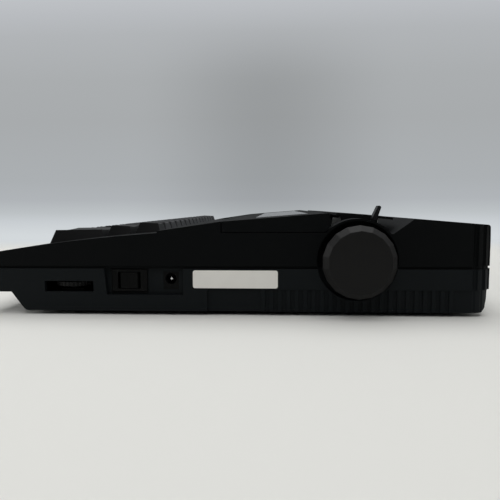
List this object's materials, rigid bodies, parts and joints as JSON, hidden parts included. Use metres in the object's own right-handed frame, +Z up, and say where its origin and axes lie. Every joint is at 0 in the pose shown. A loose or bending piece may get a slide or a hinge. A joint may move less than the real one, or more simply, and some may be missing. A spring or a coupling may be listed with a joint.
{
  "type": "electronic typewriter",
  "caption": "Portable electronic typewriter: moulded case in two halves, stepped keyboard, hinged printer lid, platen with scalloped knob, thermal carriage and paper feed.",
  "frame": {"origin": "bottom centre of the bounding box, knob included, on the table surface", "axes": "+X to the typist's right, +Y from the typist to the rear, +Z up"},
  "size_m": [0.3614, 0.3089, 0.0659],
  "materials": {
    "case_dark": "fine texture",
    "trim_black": "satin",
    "key_grey": "fine texture",
    "key_dark": "fine texture",
    "cover_grey": "satin",
    "smoked_glass": "gloss",
    "display_glass": "gloss",
    "rubber_black": "matte",
    "platen_rubber": "matte",
    "steel_plate": "satin",
    "bright_steel": "polished",
    "brass_contact": "satin",
    "gear_plastic": "satin",
    "frame_plastic": "satin",
    "board_green": "satin",
    "ribbon_black": "gloss"
  },
  "bodies": {
    "case": {"lower_case": "case_dark", "upper_case": "case_dark", "rubber_feet": "rubber_black", "case_screws": "bright_steel", "battery_contacts": "brass_contact", "power_switch": "trim_black", "dc_inlet": "trim_black", "dc_pin": "bright_steel", "density_control": "trim_black", "keyboard_plate": "steel_plate", "switch_board": "board_green", "display_bezel": "trim_black", "display_glass": "display_glass", "main_board": "board_green", "side_frame_left": "steel_plate", "side_frame_right": "steel_plate", "frame_screws": "bright_steel", "platen_bushes": "gear_plastic", "feed_motor": "steel_plate", "guide_shaft": "bright_steel", "carriage_rail": "steel_plate", "carriage_motor": "steel_plate", "belt_tensioner": "steel_plate", "timing_belt": "rubber_black", "paper_pan": "frame_plastic", "paper_cover": "cover_grey", "lid_hinge_pins": "bright_steel"},
    "door": {"battery_door": "case_dark"},
    "rocker": {"power_rocker": "trim_black"},
    "density": {"density_wheel": "key_grey"},
    "platen": {"platen_shaft": "bright_steel", "platen_roller": "platen_rubber", "platen_gear": "gear_plastic", "platen_knob": "case_dark"},
    "idler": {"idler_gear": "gear_plastic"},
    "pinion": {"motor_pinion": "gear_plastic"},
    "printer": {"carriage": "frame_plastic", "print_head": "steel_plate"},
    "cassette": {"ribbon_cassette": "ribbon_black"},
    "drive": {"drive_pulley": "gear_plastic"},
    "idle": {"idle_pulley": "gear_plastic"},
    "pinch": {"pinch_frame": "steel_plate", "release_lever": "steel_plate"},
    "rollers": {"pinch_rollers": "rubber_black"},
    "lid": {"printer_lid": "case_dark", "lid_window": "smoked_glass"},
    "number_row_body": {"number_row": "key_grey"},
    "upper_row_body": {"upper_row": "key_grey"},
    "home_row_body": {"home_row": "key_grey"},
    "lower_row_body": {"lower_row": "key_grey"},
    "correct_key_body": {"correct_key": "key_dark"},
    "tab_key_body": {"tab_key": "key_dark"},
    "index_key_body": {"index_key": "key_dark"},
    "lock_key_body": {"lock_key": "key_dark"},
    "left_shift_body": {"left_shift": "key_dark"},
    "right_shift_body": {"right_shift": "key_dark"},
    "code_key_body": {"code_key": "key_dark"},
    "mode_key_body": {"mode_key": "key_dark"},
    "return_key_body": {"return_key": "key_dark"},
    "space_bar_body": {"space_bar": "key_grey"}
  },
  "joints": [
    {"name": "lid_hinge", "type": "hinge", "parent": "case", "child": "lid", "pos_m": [0, 0.05385, 0.0568], "axis": [-1, 0, 0], "range_deg": [0, 70]},
    {"name": "platen_turn", "type": "hinge", "parent": "case", "child": "platen", "pos_m": [0, 0.07365, 0.0332], "axis": [1, 0, 0], "continuous": true},
    {"name": "idler_turn", "type": "hinge", "parent": "case", "child": "idler", "pos_m": [-0.11075, 0.04834, 0.03998], "axis": [1, 0, 0], "continuous": true},
    {"name": "pinion_turn", "type": "hinge", "parent": "case", "child": "pinion", "pos_m": [-0.11075, 0.03507, 0.03069], "axis": [1, 0, 0], "continuous": true},
    {"name": "pinch_lift", "type": "hinge", "parent": "case", "child": "pinch", "pos_m": [0, 0.09725, 0.014], "axis": [1, 0, 0], "range_deg": [0, 8], "stiffness_Nm_per_rad": 0.2, "springref_deg": -17.19},
    {"name": "rollers_turn", "type": "hinge", "parent": "pinch", "child": "rollers", "pos_m": [0, 0.0823, 0.01822], "axis": [1, 0, 0], "continuous": true},
    {"name": "carriage_slide", "type": "slide", "parent": "case", "child": "printer", "axis": [1, 0, 0], "range_m": [0, 0.202]},
    {"name": "drive_turn", "type": "hinge", "parent": "case", "child": "drive", "pos_m": [0.13125, 0.01125, 0.023], "axis": [0, 0, 1], "range_deg": [-1640, 5]},
    {"name": "idle_turn", "type": "hinge", "parent": "case", "child": "idle", "pos_m": [-0.10175, 0.01125, 0.023], "axis": [0, 0, 1], "range_deg": [-1640, 5]},
    {"name": "cassette_lift", "type": "slide", "parent": "printer", "child": "cassette", "axis": [0, 0, 1], "range_m": [0, 0.006]},
    {"name": "rocker_tilt", "type": "hinge", "parent": "case", "child": "rocker", "pos_m": [0.16355, -0.064, 0.021], "axis": [0, 0, 1], "range_deg": [-7, 7]},
    {"name": "density_turn", "type": "hinge", "parent": "case", "child": "density", "pos_m": [0.15675, -0.101, 0.0186], "axis": [0, 0, 1], "range_deg": [0, 270]},
    {"name": "door_release", "type": "slide", "parent": "case", "child": "door", "axis": [0, 0, -1], "range_m": [0, 0.012]},
    {"name": "number_row_press", "type": "slide", "parent": "case", "child": "number_row_body", "axis": [0, 0.0993, -0.9951], "range_m": [0, 0.0034], "stiffness_N_per_m": 1000, "springref_m": -0.003},
    {"name": "upper_row_press", "type": "slide", "parent": "case", "child": "upper_row_body", "axis": [0, 0.0993, -0.9951], "range_m": [0, 0.0034], "stiffness_N_per_m": 1000, "springref_m": -0.003},
    {"name": "home_row_press", "type": "slide", "parent": "case", "child": "home_row_body", "axis": [0, 0.0993, -0.9951], "range_m": [0, 0.0034], "stiffness_N_per_m": 1000, "springref_m": -0.003},
    {"name": "lower_row_press", "type": "slide", "parent": "case", "child": "lower_row_body", "axis": [0, 0.0993, -0.9951], "range_m": [0, 0.0034], "stiffness_N_per_m": 1000, "springref_m": -0.003},
    {"name": "correct_key_press", "type": "slide", "parent": "case", "child": "correct_key_body", "axis": [0, 0.0993, -0.9951], "range_m": [0, 0.0034], "stiffness_N_per_m": 250, "springref_m": -0.003},
    {"name": "tab_key_press", "type": "slide", "parent": "case", "child": "tab_key_body", "axis": [0, 0.0993, -0.9951], "range_m": [0, 0.0034], "stiffness_N_per_m": 250, "springref_m": -0.003},
    {"name": "index_key_press", "type": "slide", "parent": "case", "child": "index_key_body", "axis": [0, 0.0993, -0.9951], "range_m": [0, 0.0034], "stiffness_N_per_m": 250, "springref_m": -0.003},
    {"name": "lock_key_press", "type": "slide", "parent": "case", "child": "lock_key_body", "axis": [0, 0.0993, -0.9951], "range_m": [0, 0.0034], "stiffness_N_per_m": 250, "springref_m": -0.003},
    {"name": "left_shift_press", "type": "slide", "parent": "case", "child": "left_shift_body", "axis": [0, 0.0993, -0.9951], "range_m": [0, 0.0034], "stiffness_N_per_m": 250, "springref_m": -0.003},
    {"name": "right_shift_press", "type": "slide", "parent": "case", "child": "right_shift_body", "axis": [0, 0.0993, -0.9951], "range_m": [0, 0.0034], "stiffness_N_per_m": 250, "springref_m": -0.003},
    {"name": "code_key_press", "type": "slide", "parent": "case", "child": "code_key_body", "axis": [0, 0.0993, -0.9951], "range_m": [0, 0.0034], "stiffness_N_per_m": 250, "springref_m": -0.003},
    {"name": "mode_key_press", "type": "slide", "parent": "case", "child": "mode_key_body", "axis": [0, 0.0993, -0.9951], "range_m": [0, 0.0034], "stiffness_N_per_m": 250, "springref_m": -0.003},
    {"name": "return_key_press", "type": "slide", "parent": "case", "child": "return_key_body", "axis": [0, 0.0993, -0.9951], "range_m": [0, 0.0034], "stiffness_N_per_m": 250, "springref_m": -0.003},
    {"name": "space_bar_press", "type": "slide", "parent": "case", "child": "space_bar_body", "axis": [0, 0.0993, -0.9951], "range_m": [0, 0.0034], "stiffness_N_per_m": 250, "springref_m": -0.003}
  ],
  "couplings": [
    {"joint": "idler_turn", "follows": "platen_turn", "ratio": -1.3636},
    {"joint": "pinion_turn", "follows": "platen_turn", "ratio": 3},
    {"joint": "rollers_turn", "follows": "platen_turn", "ratio": -3.25},
    {"joint": "drive_turn", "follows": "carriage_slide", "rad_per_m": -139.86},
    {"joint": "idle_turn", "follows": "carriage_slide", "rad_per_m": -139.86}
  ]
}
